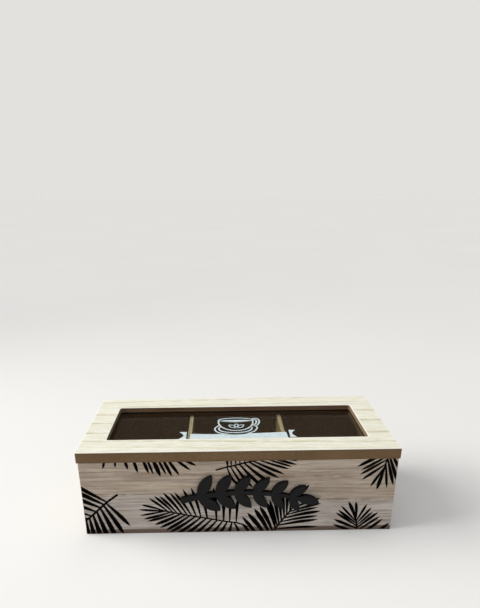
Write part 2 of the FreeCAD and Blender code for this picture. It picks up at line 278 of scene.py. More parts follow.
def lid_veneer_finish():
    """Bare paulownia veneer: cream, very straight, a faint brown line each year, a painted highlight on
    its rims.
    """
    tones = [(0.36, "e1dfc9"), (0.5, "eeeddc"), (0.64, "f8f8ed")]
    rings = [(-43.5, 2.0, "f0ede3"), (-33.6, 2.4, "e2dbcb"), (-19.4, 3.0, "dfd7c7"),
             (-0.5, 2.6, "ddd6c5"), (17.0, 2.6, "dfd8c7"), (33.5, 2.6, "efeade"),
             (45.0, 2.0, "e8e2d4")]
    material, tree, shader, place, wood, _ = veneer(
        "paulownia_veneer", "X", "Y", tones, "d8d2ba", fibre_length=16, rings=rings,
        slope=0.0, spread=0.9, sway_reach=1.8)
    # The arris round the lid and round the window was broken with fine paper, and a painted highlight
    # shows it whiter.
    inside, offset = from_sides(tree, place, veneer_low, veneer_high)
    past_wall = past_window(tree, offset)[1]
    from_rim = add(tree, "ShaderNodeMath", {0: inside, 1: past_wall}, operation="MINIMUM")
    painted_rim_highlight = add(tree, "ShaderNodeMapRange", {
        "Value": from_rim.outputs["Value"], "From Min": 0.5 * MM, "From Max": 1.1 * MM,
        "To Min": 0.65, "To Max": 0.0}, interpolation_type="SMOOTHSTEP")
    wood = add(tree, "ShaderNodeMix", {
        FACTOR: painted_rim_highlight.outputs["Result"], FIRST: wood, SECOND: linear("fdfcf3")},
        data_type="RGBA")
    # Under its chamfer, the sheet's cut edge is as brown as the board's edge below it.
    height = add(tree, "ShaderNodeSeparateXYZ", {"Vector": place})
    cut_edge = add(tree, "ShaderNodeMapRange", {
        "Value": height.outputs["Z"], "From Min": veneer_high.z - 0.35 * MM,
        "From Max": veneer_high.z - 0.25 * MM, "To Min": 0.85, "To Max": 0.0})
    wood = add(tree, "ShaderNodeMix", {
        FACTOR: cut_edge.outputs["Result"], FIRST: wood.outputs[BLENDED], SECOND: linear("6c553b")},
        data_type="RGBA")
    plug(tree, shader, {"Base Color": wood.outputs[BLENDED]})
    return material


def stained_veneer_finish(name, along):
    """The same veneer with a thin grey-beige stain wiped on, which stays in the open early wood.

    The sheet is greyer and lighter below its second ring, and warmer above it.
    """
    tones = [(0.37, "9a8f87"), (0.5, "b4a9a0"), (0.63, "c9c0b7")]
    rings = [(14.0, 3.0, "ebe6df"), (32.0, 3.6, "cbbfb0"), (41.0, 2.4, "efe9e1"),
             (52.0, 3.6, "ddd2c5")]
    material, tree, shader, place, wood, at_ring = veneer(
        name, along, "Z", tones, "93877a", fibre_length=34, rings=rings,
        slope=-0.038, spread=0.0, sway_reach=3.4)
    # The wood is warmer above the second ring.
    turn = rings[1][0]
    above = add(tree, "ShaderNodeMapRange", {
        "Value": at_ring, "From Min": (turn - 0.5) * MM, "From Max": (turn + 1.0) * MM},
        interpolation_type="SMOOTHSTEP")
    drift = add(tree, "ShaderNodeValToRGB", {"Fac": above.outputs["Result"]},
                stops=[(0.0, "ffffff"), (1.0, "f6efe3")])
    # A painted shadow darkens the sheet's foot, where it meets the bottom board.
    height = add(tree, "ShaderNodeSeparateXYZ", {"Vector": place})
    foot = add(tree, "ShaderNodeMapRange", {
        "Value": height.outputs["Z"], "From Min": box_low.z + 0.7 * MM,
        "From Max": box_low.z + 1.6 * MM, "To Min": 0.9, "To Max": 0.0},
        interpolation_type="SMOOTHSTEP")
    wood = add(tree, "ShaderNodeMix", {
        FACTOR: foot.outputs["Result"], FIRST: wood, SECOND: linear("665547")}, data_type="RGBA")
    wood = add(tree, "ShaderNodeMix", {
        FACTOR: 1.0, FIRST: wood.outputs[BLENDED], SECOND: drift.outputs["Color"]},
        data_type="RGBA", blend_type="MULTIPLY")
    plug(tree, shader, {"Base Color": wood.outputs[BLENDED]})
    return material


DENSE_FIBRE = "66503a"
MDF_TONES = [(0.3, "7d634a"), (0.5, "947759"), (0.7, "a88b6c")]
# The box's boards take a copy of these tones darkened by a fifth: painted shade for the inside of the
# box.
SHADED_MDF_TONES = [(0.3, "715a42"), (0.5, "856b50"), (0.7, "977d61")]


def cut_window(tree, board, place, offset):
    """Darkens the lid board's two dense faces, paints light and shade on its window's walls, and
    returns its colour.
    """
    height = add(tree, "ShaderNodeSeparateXYZ", {"Vector": place}).outputs["Z"]
    # Fibre is denser towards the two faces, which shows as a dark band along a sawn edge.
    through = add(tree, "ShaderNodeMapRange", {
        "Value": height, "From Min": lid_low.z, "From Max": lid_high.z,
        "To Min": -1.0, "To Max": 1.0})
    off_core = add(tree, "ShaderNodeMath", {0: through.outputs["Result"]}, operation="ABSOLUTE")
    pressed = add(tree, "ShaderNodeMapRange", {
        "Value": off_core.outputs["Value"], "From Min": 0.62, "From Max": 0.98,
        "To Min": 0.0, "To Max": 0.6}, interpolation_type="SMOOTHSTEP")
    board = add(tree, "ShaderNodeMix", {
        FACTOR: pressed.outputs["Result"], FIRST: board, SECOND: linear(DENSE_FIBRE)},
        data_type="RGBA")
    past_end, past_wall = past_window(tree, offset)
    near_wall = add(tree, "ShaderNodeMapRange", {
        "Value": past_wall, "From Min": 0.3 * MM, "From Max": 0.6 * MM,
        "To Min": 1.0, "To Max": 0.0})
    # Painted light and shade: the long walls are painted dark as if in shade, the end walls pale as if
    # lit.
    at_end = add(tree, "ShaderNodeMapRange", {
        "Value": past_end, "From Min": -1.2 * MM, "From Max": -0.4 * MM})
    painted_wall_light_shade = add(tree, "ShaderNodeMix", {
        FACTOR: at_end.outputs["Result"], FIRST: linear("4a3521"), SECOND: linear("94826a")},
        data_type="RGBA")
    painted_wall_share = add(tree, "ShaderNodeMapRange", {
        "Value": at_end.outputs["Result"], "To Min": 0.28, "To Max": 0.6})
    painted_wall_mask = add(tree, "ShaderNodeMath", {
        0: painted_wall_share.outputs["Result"], 1: near_wall.outputs["Result"]}, operation="MULTIPLY")
    board = add(tree, "ShaderNodeMix", {
        FACTOR: painted_wall_mask.outputs["Value"], FIRST: board.outputs[BLENDED],
        SECOND: painted_wall_light_shade.outputs[BLENDED]}, data_type="RGBA")
    # Painted shade darkens the corner where the walls meet the glass.
    shade_above_glass = add(tree, "ShaderNodeMapRange", {
        "Value": height, "From Min": glass_top + 0.6 * MM, "From Max": glass_top + 0.9 * MM,
        "To Min": 0.96, "To Max": 0.0})
    painted_corner_shade = add(tree, "ShaderNodeMath", {
        0: shade_above_glass.outputs["Result"], 1: near_wall.outputs["Result"]}, operation="MULTIPLY")
    board = add(tree, "ShaderNodeMix", {
        FACTOR: painted_corner_shade.outputs["Value"], FIRST: board.outputs[BLENDED], SECOND: linear("1c140c")},
        data_type="RGBA")
    return board.outputs[BLENDED]


def fibreboard(name, tones, low, high, stain, has_window=False):
    """Bare MDF: pressed softwood fibre, brown, quite matt, with felted mottling.

    low and high are the corners of the board or box it is sawn for: its outer edges caught some of
    the stain that was wiped on.
    """
    material, tree, shader, place = new_finish(name)
    # Fibre clumps are 0.3 to 1 mm; the coarser mottling is what shows from an arm's length.
    clumps = add(tree, "ShaderNodeTexNoise", {
        "Vector": place, "Scale": per_mm(1.6), "Detail": 6.0, "Roughness": 0.7})
    tone = add(tree, "ShaderNodeValToRGB", {"Fac": clumps.outputs["Fac"]}, stops=tones)
    clouds = add(tree, "ShaderNodeTexNoise", {"Vector": place, "Scale": per_mm(38), "Detail": 3.0})
    cloud_tone = add(tree, "ShaderNodeValToRGB", {"Fac": clouds.outputs["Fac"]},
                     stops=[(0.3, "d8d0c8"), (0.7, "ffffff")])
    board = add(tree, "ShaderNodeMix", {
        FACTOR: 1.0, FIRST: tone.outputs["Color"], SECOND: cloud_tone.outputs["Color"]},
        data_type="RGBA", blend_type="MULTIPLY")
    # Single dark bark fibres.
    specks = add(tree, "ShaderNodeTexVoronoi", {
        "Vector": place, "Scale": per_mm(2.4), "Randomness": 1.0}, feature="F1")
    speck_share = add(tree, "ShaderNodeMapRange", {
        "Value": specks.outputs["Distance"], "From Min": 0.1, "From Max": 0.2,
        "To Min": 0.5, "To Max": 0.0})
    board = add(tree, "ShaderNodeMix", {
        FACTOR: speck_share.outputs["Result"], FIRST: board.outputs[BLENDED],
        SECOND: linear(DENSE_FIBRE)}, data_type="RGBA").outputs[BLENDED]
    inward, offset = from_sides(tree, place, low, high)
    if has_window:
        board = cut_window(tree, board, place, offset)
    stained = add(tree, "ShaderNodeMapRange", {
        "Value": inward, "From Min": 0.35 * MM, "From Max": 0.6 * MM, "To Min": 0.6, "To Max": 0.0})
    board = add(tree, "ShaderNodeMix", {
        FACTOR: stained.outputs["Result"], FIRST: board, SECOND: linear(stain)}, data_type="RGBA")
    nap = add(tree, "ShaderNodeTexNoise", {"Vector": place, "Scale": per_mm(0.5), "Detail": 3.0})
    relief = add(tree, "ShaderNodeBump", {
        "Height": nap.outputs["Fac"], "Strength": 0.4, "Distance": FIBRE_RELIEF})
    gloss = add(tree, "ShaderNodeMapRange", {
        "Value": clumps.outputs["Fac"], "From Min": NOISE_LOW, "From Max": NOISE_HIGH,
        "To Min": 0.85, "To Max": 0.7})
    plug(tree, shader, {
        "Base Color": board.outputs[BLENDED], "Normal": relief.outputs["Normal"],
        "Roughness": gloss.outputs["Result"], "Specular IOR Level": 0.25})
    return material


def plain_strip(name, along, tones, length, breadth, top=None, faces=None):
    """Bare straight-grained softwood or plywood, planed, with streaks along one axis.

    The streaks are `length` mm long and `breadth` mm wide. With top, the height of a freshly sanded
    upper edge, everything below it takes the tint faces.
    """
    material, tree, shader, place = new_finish(name)
    streaks = drawn_out(tree, place, along, length, breadth, 5.0, 0.6)
    tone = add(tree, "ShaderNodeValToRGB", {"Fac": streaks.outputs["Fac"]}, stops=tones)
    tone = tone.outputs["Color"]
    if top:
        height = add(tree, "ShaderNodeSeparateXYZ", {"Vector": place})
        below = add(tree, "ShaderNodeMapRange", {
            "Value": height.outputs["Z"], "From Min": top - 0.5 * MM, "From Max": top - 0.1 * MM,
            "To Min": 1.0, "To Max": 0.0})
        tone = add(tree, "ShaderNodeMix", {
            FACTOR: below.outputs["Result"], FIRST: tone, SECOND: linear(faces)},
            data_type="RGBA", blend_type="MULTIPLY").outputs[BLENDED]
    relief = add(tree, "ShaderNodeBump", {
        "Height": streaks.outputs["Fac"], "Strength": 0.3, "Distance": FIBRE_RELIEF})
    gloss = add(tree, "ShaderNodeMapRange", {
        "Value": streaks.outputs["Fac"], "From Min": NOISE_LOW, "From Max": NOISE_HIGH,
        "To Min": 0.75, "To Max": 0.6})
    plug(tree, shader, {
        "Base Color": tone, "Normal": relief.outputs["Normal"],
        "Roughness": gloss.outputs["Result"], "Specular IOR Level": 0.3})
    return material


# ---- Glass, paint, ink and metal -----------------------------------------------------------

def float_glass():
    """Clear float glass: smooth, IOR 1.52, its cut edge a little green, with a breath of haze.

    Lamps shine straight through it, less what two clean faces turn back, so they light the inside.
    """
    material, tree, shader, place = new_finish("clear_float_glass")
    haze = add(tree, "ShaderNodeTexNoise", {"Vector": place, "Scale": per_mm(45), "Detail": 3.0})
    gloss = add(tree, "ShaderNodeMapRange", {
        "Value": haze.outputs["Fac"], "From Min": 0.35, "From Max": NOISE_HIGH,
        "To Min": 0.0, "To Max": 0.012})
    plug(tree, shader, {
        "Base Color": linear("f5f7f5"), "Roughness": gloss.outputs["Result"],
        "IOR": 1.52, "Transmission Weight": 1.0})
    clear = add(tree, "ShaderNodeBsdfTransparent", {"Color": linear("f3f6f3")})
    from_lamp = add(tree, "ShaderNodeLightPath").outputs["Is Shadow Ray"]
    pane = add(tree, "ShaderNodeMixShader", {
        0: from_lamp, 1: shader.outputs["BSDF"], 2: clear.outputs["BSDF"]})
    plug(tree, tree.nodes["Material Output"], {"Surface": pane.outputs["Shader"]})
    return material


def painted_board():
    """Thin board sprayed satin black: a soft sheen over a faint orange-peel."""
    material, tree, shader, place = new_finish("satin_black_paint")
    peel = add(tree, "ShaderNodeTexNoise", {"Vector": place, "Scale": per_mm(1.1), "Detail": 2.0})
    tone = add(tree, "ShaderNodeValToRGB", {"Fac": peel.outputs["Fac"]},
               stops=[(0.35, "0c0c0d"), (0.65, "131314")])
    relief = add(tree, "ShaderNodeBump", {
        "Height": peel.outputs["Fac"], "Strength": 0.25, "Distance": 0.05 * MM})
    gloss = add(tree, "ShaderNodeMapRange", {
        "Value": peel.outputs["Fac"], "From Min": NOISE_LOW, "From Max": NOISE_HIGH,
        "To Min": 0.42, "To Max": 0.54})
    plug(tree, shader, {
        "Base Color": tone.outputs["Color"], "Normal": relief.outputs["Normal"],
        "Roughness": gloss.outputs["Result"], "Specular IOR Level": 0.15})
    return material


def screen_ink(name, tones, mottle, roughness, specular):
    """Screen-printed ink: one thin flat coat, slightly uneven where the screen lifted.

    mottle is the spacing of the unevenness, in mm.
    """
    material, tree, shader, place = new_finish(name)
    coat = add(tree, "ShaderNodeTexNoise", {"Vector": place, "Scale": per_mm(mottle), "Detail": 4.0})
    tone = add(tree, "ShaderNodeValToRGB", {"Fac": coat.outputs["Fac"]}, stops=tones)
    gloss = add(tree, "ShaderNodeMapRange", {
        "Value": coat.outputs["Fac"], "From Min": NOISE_LOW, "From Max": NOISE_HIGH,
        "To Min": roughness, "To Max": roughness + 0.12})
    plug(tree, shader, {
        "Base Color": tone.outputs["Color"], "Roughness": gloss.outputs["Result"],
        "Specular IOR Level": specular})
    return material


SCRATCH_PROPORTION = 30            # a working mark's length for its breadth


def worked_metal(name, tones, roughness, along, scratch_breadth):
    """Drawn, pressed or plated metal with fine lengthwise working marks and a little dulling."""
    material, tree, shader, place = new_finish(name)
    marks = drawn_out(tree, place, along, scratch_breadth * SCRATCH_PROPORTION, scratch_breadth, 3.0)
    dulling = add(tree, "ShaderNodeTexNoise", {"Vector": place, "Scale": per_mm(6), "Detail": 3.0})
    tone = add(tree, "ShaderNodeValToRGB", {"Fac": dulling.outputs["Fac"]}, stops=tones)
    gloss = add(tree, "ShaderNodeMapRange", {
        "Value": marks.outputs["Fac"], "From Min": NOISE_LOW, "From Max": NOISE_HIGH,
        "To Min": roughness - 0.06, "To Max": roughness + 0.08})
    relief = add(tree, "ShaderNodeBump", {
        "Height": marks.outputs["Fac"], "Strength": 0.2, "Distance": 0.02 * MM})
    plug(tree, shader, {
        "Base Color": tone.outputs["Color"], "Roughness": gloss.outputs["Result"],
        "Normal": relief.outputs["Normal"], "Metallic": 1.0})
    return material


lid_wood = lid_veneer_finish()
front_wood = stained_veneer_finish("stained_veneer_front", "X")
end_wood = stained_veneer_finish("stained_veneer_end", "Y")

lid_mdf = fibreboard("bare_mdf_lid", MDF_TONES, lid_low, lid_high, "5c482d", has_window=True)
# The box's boards carry the darker copy of the tones, as painted shade for the box's inside.
shaded_box_mdf = fibreboard("bare_mdf_box_shaded", SHADED_MDF_TONES, bottom_low, bottom_high, "938579")
# Painted shade darkens the bottom board's edge at the box's foot.
shaded_base_mdf = fibreboard("bare_mdf_base_shaded", SHADED_MDF_TONES, bottom_low, bottom_high, "5f5452")

# Three-ply basswood, planed: the grain runs with the box's depth, and the sanded top edge is paler.
DIVIDER_TONES = [(0.3, "bfab83"), (0.5, "d0c09b"), (0.7, "dbceb0")]
divider_wood = plain_strip("basswood_ply", "Y", DIVIDER_TONES, 40, 0.9, divider_top, "b9ac98")
# Thin strip sawn from brown board; its dark tone is painted shade under the window's rim, so it draws
# no eye under the glass.
SHADE_DARK_BEAD_TONES = [(0.3, "4a3626"), (0.5, "5a4330"), (0.7, "6a513b")]
bead_along = plain_strip("brown_bead_long", "X", SHADE_DARK_BEAD_TONES, 60, 0.8)
bead_across = plain_strip("brown_bead_short", "Y", SHADE_DARK_BEAD_TONES, 60, 0.8)

glass = float_glass()
black_board = painted_board()
black_ink = screen_ink("black_screen_ink", [(0.35, "010101"), (0.65, "040404")], 2.5, 0.74, 0.03)
white_ink = screen_ink("white_screen_ink", [(0.35, "c8dade"), (0.65, "d9e7ea")], 4.0, 0.42, 0.2)
# Brass plate on pressed steel, a little dulled; brass plate on screws; drawn wire; flat wire.
hinge_brass = worked_metal("brass_plate", [(0.3, "b08d4c"), (0.7, "cfae68")], 0.3, "X", 0.25)
screw_brass = worked_metal("brass_screw_plate", [(0.3, "a58444"), (0.7, "c3a25c")], 0.34, "Y", 0.2)
pin_steel = worked_metal("drawn_steel_wire", [(0.3, "9a958c"), (0.7, "b9b4aa")], 0.28, "X", 0.15)
brad_steel = worked_metal("flat_wire_steel", [(0.3, "8d8f92"), (0.7, "a7a9ac")], 0.38, "Z", 0.2)

NODE_FINISHES = {
    "front_panel": shaded_box_mdf,
    "back_panel": shaded_box_mdf,
    "left_panel": shaded_box_mdf,
    "right_panel": shaded_box_mdf,
    "bottom_panel": shaded_base_mdf,
    "bottom_brads": brad_steel,
    "front_veneer": front_wood,
    "back_veneer": front_wood,
    "left_veneer": end_wood,
    "right_veneer": end_wood,
    "left_divider": divider_wood,
    "right_divider": divider_wood,
    "sprig_ornament": black_board,
    "lid_board": lid_mdf,
    "lid_veneer": lid_wood,
    "window_pane": glass,
    "glazing_bead_front": bead_along,
    "glazing_bead_back": bead_along,
    "glazing_bead_left": bead_across,
    "glazing_bead_right": bead_across,
}
for side in ("left", "right"):
    NODE_FINISHES[side + "_hinge_box_leaf"] = hinge_brass
    NODE_FINISHES[side + "_hinge_lid_leaf"] = hinge_brass
    NODE_FINISHES[side + "_hinge_box_screws"] = screw_brass
    NODE_FINISHES[side + "_hinge_lid_screws"] = screw_brass
    NODE_FINISHES[side + "_hinge_pin"] = pin_steel
for name, finish in NODE_FINISHES.items():
    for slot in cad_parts[name].material_slots:
        slot.material = finish


# ---- Printed decoration ----------------------------------------------------------------------

INK_COAT = 0.05 * MM

UNIT_GRID = 0.5                    # the size that makes a grid one unit across

# How finely the printed strips and the oval are divided.
BLADE_STEPS = 8
STEM_STEPS = 12
STROKE_STEPS = 24
TAIL_STEPS = 10
OVAL_SIDES = 48


def on_line(points, share):
    """The place and the direction at a share of the smooth line through the points."""
    before_first = points[0] * 2 - points[1]
    after_last = points[-1] * 2 - points[-2]
    spans = len(points) - 1
    span = min(int(share * spans), spans - 1)
    t = share * spans - span
    a, b, c, d = ([before_first] + points + [after_last])[span:span + 4]
    bend = 2 * a - 5 * b + 4 * c - d
    twist = 3 * b - a - 3 * c + d
    place = (2 * b + (c - a) * t + bend * t * t + twist * t ** 3) / 2
    heading = (c - a) + 2 * bend * t + 3 * twist * t * t
    return place, heading.normalized()


def strip(sheet, line, breadth, steps, outline):
    """Adds a flat strip along the line; outline(share) is its width there, as a share of breadth."""
    made = bmesh.ops.create_grid(sheet, x_segments=steps, y_segments=1, size=UNIT_GRID)
    for corner in made["verts"]:
        share = corner.co.x + 0.5
        place, heading = on_line(line, share)
        reach = corner.co.y * breadth * outline(share)
        corner.co = Vector((place.x - heading.y * reach, place.y + heading.x * reach, 0))


def blade(share):
    """A palm leaflet's outline: narrow at its foot, fullest past the middle, pointed."""
    return max(0.06, (0.42 + 1.25 * share) * (1 - share ** 5))


def even(share):
    """A line of one width, with square ends."""
    return 1.0


def brimming(share):
    """What a full cup shows: a level band, rounded off at its two ends."""
    return max(0.1, 1 - abs(2 * share - 1) ** 5)


def points_mm(pairs):
    """Points given in millimetres, as vectors in metres."""
    return [Vector(pair) * MM for pair in pairs]


def bowed(foot, tip, bow):
    """A line from foot to tip that bows to its left by that share of its length."""
    reach = tip - foot
    return [foot, foot + reach / 2 + Vector((-reach.y, reach.x)) * bow, tip]


def finished_piece(name, sheet, finish, body):
    """Makes the piece from its bmesh, gives it its finish and lets it ride on its body."""
    bmesh.ops.recalc_face_normals(sheet, faces=sheet.faces[:])
    mesh = bpy.data.meshes.new(name)
    sheet.to_mesh(mesh)
    sheet.free()
    mesh.materials.append(finish)
    piece = bpy.data.objects.new(name, mesh)
    bpy.context.scene.collection.objects.link(piece)
    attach(piece, body)


def cut_away(sheet, place, outward):
    """Takes off everything past a straight edge."""
    everything = sheet.verts[:] + sheet.edges[:] + sheet.faces[:]
    bmesh.ops.bisect_plane(
        sheet, geom=everything, plane_co=place, plane_no=outward, clear_outer=True)


# The print stops at the eased corners of the front, at its foot and under the lid.
EDGE_EASE = 0.4 * MM
PRINT_LEFT = box_low.x + EDGE_EASE
PRINT_RIGHT = box_high.x - EDGE_EASE
PRINT_FOOT = bottom_low.z + EDGE_EASE
PRINT_TOP = box_high.z


def frond_print(name, stem, stem_breadth, leaflets):
    """One palm frond printed on the front: a stem, which may have no breadth, and its leaflets.

    The stem's points are (x, z) in millimetres. Each leaflet is (share of the stem where it starts,
    its tip's x and z, its breadth, and its bow to the left as a share of its length).
    """
    sheet = bmesh.new()
    stem_line = points_mm(stem)
    if stem_breadth:
        strip(sheet, stem_line, stem_breadth * MM, STEM_STEPS, even)
    for share, tip_x, tip_z, breadth, bow in leaflets:
        foot = on_line(stem_line, share)[0]
        tip = Vector((tip_x, tip_z)) * MM
        strip(sheet, bowed(foot, tip, bow), breadth * MM, BLADE_STEPS, blade)
    upright = Matrix.Rotation(math.radians(90), 3, "X")
    bmesh.ops.rotate(sheet, verts=sheet.verts[:], cent=(0, 0, 0), matrix=upright)
    cut_away(sheet, (PRINT_LEFT, 0, 0), (-1, 0, 0))
    cut_away(sheet, (PRINT_RIGHT, 0, 0), (1, 0, 0))
    cut_away(sheet, (0, 0, PRINT_FOOT), (0, 0, -1))
    cut_away(sheet, (0, 0, PRINT_TOP), (0, 0, 1))
    bmesh.ops.translate(sheet, verts=sheet.verts[:], vec=(0, box_low.y - INK_COAT, 0))
    bmesh.ops.solidify(sheet, geom=sheet.faces[:], thickness=INK_COAT)
    finished_piece(name, sheet, black_ink, "box")


frond_print(
    "frond_lower_left",
    [(-119.5, 12.0), (-113.5, 16.8), (-106.5, 23.6), (-99.8, 29.8), (-91.8, 36.0)], 1.7, [
        (0.73, -126.0, 46.8, 3.1, 0.0), (0.64, -127.0, 41.6, 3.5, 0.0), (0.53, -127.0, 35.0, 3.5, 0.0),
        (0.40, -126.0, 28.4, 3.0, 0.0), (0.26, -126.0, 21.6, 2.4, 0.0), (0.13, -125.0, 17.2, 2.1, 0.0),
        (0.70, -84.3, 7.0, 3.1, 0.01), (0.62, -89.6, -1.0, 3.4, 0.01), (0.52, -95.4, -6.0, 3.6, 0.01),
        (0.41, -101.2, -9.0, 3.6, 0.0), (0.30, -106.8, -9.0, 3.5, 0.0), (0.18, -112.3, -9.0, 3.2, 0.0),
        (0.07, -117.4, -9.0, 3.1, 0.0)])
frond_print(
    "frond_upper_left",
    [(-44.0, 68.0), (-56.0, 70.4), (-68.0, 71.0), (-84.0, 70.6), (-99.0, 69.5)], None, [
        (0.05, -31.3, 60.2, 2.1, 0.0), (0.15, -35.8, 56.3, 2.1, 0.0), (0.23, -44.4, 52.2, 2.3, 0.0),
        (0.29, -49.8, 51.2, 2.4, 0.0), (0.37, -54.2, 53.0, 1.9, 0.0), (0.44, -58.4, 51.3, 3.1, 0.0),
        (0.52, -63.6, 53.4, 1.8, 0.0), (0.57, -67.0, 54.2, 2.4, 0.0), (0.67, -75.1, 54.9, 2.3, 0.0),
        (0.77, -82.3, 57.8, 2.2, 0.0), (0.87, -91.4, 59.6, 1.6, 0.0), (0.98, -100.8, 58.7, 1.8, 0.0)])
frond_print(
    "frond_lower_middle",
    [(7.0, 4.4), (0.0, 8.2), (-10.0, 9.8), (-20.0, 12.1), (-30.0, 14.2), (-40.0, 16.4),
     (-49.0, 18.5), (-58.0, 20.8)], 1.3, [
        (0.98, -74.6, 26.5, 1.9, -0.02), (0.97, -76.8, 22.0, 1.9, 0.0),
        (0.97, -76.2, 16.6, 1.7, 0.0), (0.94, -68.3, 32.2, 2.0, -0.02),
        (0.88, -64.3, 34.2, 2.2, -0.02), (0.83, -60.3, 34.3, 2.1, -0.02),
        (0.77, -57.3, 37.1, 2.4, -0.02), (0.71, -52.3, 37.0, 2.1, -0.02),
        (0.66, -48.9, 37.5, 2.2, -0.02), (0.61, -42.3, 40.0, 2.3, -0.02),
        (0.56, -36.0, 41.4, 2.3, -0.02), (0.49, -29.6, 39.5, 2.7, -0.02),
        (0.39, -19.3, 41.0, 2.7, -0.02), (0.31, -11.4, 38.0, 2.6, 0.0), (0.245, -6.2, 36.0, 2.2, 0.0),
        (0.175, -0.6, 33.0, 2.1, 0.0),
        (0.91, -73.5, 13.3, 2.2, 0.02), (0.85, -71.0, 11.0, 2.2, 0.02), (0.79, -65.4, 7.8, 2.7, 0.02),
        (0.73, -61.7, 4.8, 2.5, 0.02), (0.68, -57.0, 2.4, 2.7, 0.02), (0.62, -54.0, 0.4, 2.7, 0.02),
        (0.56, -49.0, -1.5, 2.7, 0.02), (0.50, -44.0, -3.5, 2.7, 0.02), (0.44, -38.0, -4.5, 2.5, 0.02),
        (0.38, -31.0, -4.5, 2.5, 0.02), (0.32, -24.0, -4.5, 2.4, 0.02), (0.27, -17.0, -4.5, 2.4, 0.02),
        (0.22, -9.0, -4.0, 2.3, 0.02), (0.20, 0.5, -2.0, 2.0, 0.04), (0.10, 8.5, -1.0, 2.2, 0.04)])
frond_print(
    "frond_upper_middle",
    [(-17.2, 56.1), (-10.0, 58.3), (0.0, 60.8), (10.0, 63.4), (20.0, 65.6), (30.0, 67.5)], 1.3, [
        (0.225, 1.4, 40.4, 1.9, -0.07), (0.28, 5.2, 40.2, 1.9, -0.03), (0.34, 10.8, 40.2, 2.4, -0.02),
        (0.41, 18.2, 40.8, 2.6, -0.02), (0.48, 23.7, 44.4, 2.6, -0.02), (0.55, 30.3, 48.5, 2.6, -0.01),
        (0.61, 34.3, 51.7, 2.3, -0.01), (0.69, 37.8, 56.1, 1.9, -0.01), (0.78, 39.8, 58.1, 1.7, 0.0),
        (0.85, 43.2, 59.8, 2.0, 0.0), (0.97, 43.8, 62.9, 1.6, 0.0),
        (0.24, -9.0, 69.0, 2.0, 0.0), (0.295, -6.0, 69.0, 1.5, 0.0), (0.36, -2.7, 69.0, 1.4, 0.0),
        (0.42, 0.4, 69.0, 1.3, 0.0), (0.49, 3.8, 69.0, 1.3, 0.0)])
frond_print(
    "frond_lower_right",
    [(10.0, -14.0), (20.0, -7.0), (26.5, -0.5), (32.0, 7.8), (37.0, 15.0), (41.0, 21.0),
     (44.5, 30.0)], 1.3, [
        (0.12, 2.6, 14.2, 2.8, -0.02), (0.21, 6.6, 17.8, 3.5, -0.02), (0.28, 11.9, 21.5, 3.5, -0.02),
        (0.34, 16.1, 23.8, 3.2, -0.02), (0.40, 20.8, 28.2, 3.0, -0.02), (0.44, 23.6, 29.2, 2.6, 0.0),
        (0.48, 27.4, 31.2, 2.6, 0.0), (0.54, 30.8, 32.4, 2.4, 0.0), (0.61, 33.6, 33.2, 2.3, 0.0),
        (0.67, 37.2, 35.0, 2.1, 0.0), (0.76, 41.2, 37.2, 2.1, 0.0), (0.93, 45.9, 42.8, 2.1, 0.0),
        (1.0, 53.4, 42.3, 2.3, 0.0),
        (0.83, 62.6, 30.3, 2.1, 0.02), (0.75, 63.3, 25.3, 2.2, 0.02), (0.67, 61.3, 21.8, 2.0, 0.02),
        (0.60, 63.4, 18.2, 2.7, 0.02), (0.52, 61.6, 14.0, 2.2, 0.02), (0.45, 61.7, 10.4, 2.5, 0.02),
        (0.38, 62.4, 3.7, 2.1, 0.02)])
frond_print(
    "frond_lower_corner",
    [(93.4, -6.0), (92.8, 0.0), (92.4, 5.0), (91.4, 10.0)], 1.2, [
        (0.92, 84.4, 26.6, 2.6, -0.02), (1.0, 90.1, 26.4, 2.2, -0.02), (0.84, 78.9, 22.8, 1.8, 0.0),
        (0.72, 76.9, 18.9, 2.1, 0.0), (0.58, 75.3, 16.5, 2.2, 0.0), (0.42, 74.1, 10.3, 2.5, 0.0),
        (0.18, 73.7, 5.5, 2.3, 0.0),
        (0.88, 98.8, 23.9, 1.9, 0.0), (0.74, 102.6, 20.7, 1.9, 0.0), (0.60, 104.2, 17.0, 1.7, 0.0),
        (0.46, 108.2, 16.3, 2.3, 0.0), (0.27, 110.0, 12.4, 2.0, 0.0), (0.04, 112.4, 10.0, 2.4, -0.03)])
frond_print(
    "frond_upper_corner",
    [(111.2, 71.0), (110.5, 65.0), (109.6, 60.0), (109.0, 55.5)], 1.2, [
        (0.06, 88.5, 57.3, 2.7, 0.0), (0.27, 91.8, 54.3, 2.2, 0.0), (0.46, 91.0, 50.3, 2.2, 0.0),
        (0.74, 92.8, 45.9, 2.2, 0.0), (0.90, 99.8, 39.6, 2.1, 0.0), (1.0, 104.9, 37.0, 2.8, 0.0),
        (0.66, 112.4, 38.4, 1.9, 0.0), (0.38, 117.2, 40.6, 2.4, 0.0), (0.16, 120.4, 42.6, 2.5, 0.0),
        (0.0, 123.6, 49.0, 2.4, 0.0)])
frond_print(
    "frond_corner_tips",
    [(104.0, -7.0), (112.0, -8.0)], None, [
        (0.0, 118.0, 6.0, 2.6, 0.0), (1.0, 122.0, 4.0, 2.4, 0.0)])


# The ink bites into the glass by a hair, so that its underside is seen through the pane.
INK_BITE = 0.02 * MM

CUP_STROKE = 1.25 * MM
TEA_STROKE = 1.0 * MM
TEA_BREADTH = 3.4 * MM
LEAF_STROKE = 0.9 * MM
LEAF_BOW = 0.26                    # how far a leaf's sides bulge, as a share of its length
RIBBON_BREADTH = 12.2 * MM
TAIL_HOLLOW = 1.6                  # 1 would give the tails' notches straight sides


def on_glass(sheet, name):
    """Lays a flat print on the glass and gives the coat of ink its thickness."""
    bmesh.ops.translate(sheet, verts=sheet.verts[:], vec=(0, 0, glass_top + INK_COAT))
    bmesh.ops.solidify(sheet, geom=sheet.faces[:], thickness=INK_COAT + INK_BITE)
    finished_piece(name, sheet, white_ink, "lid")


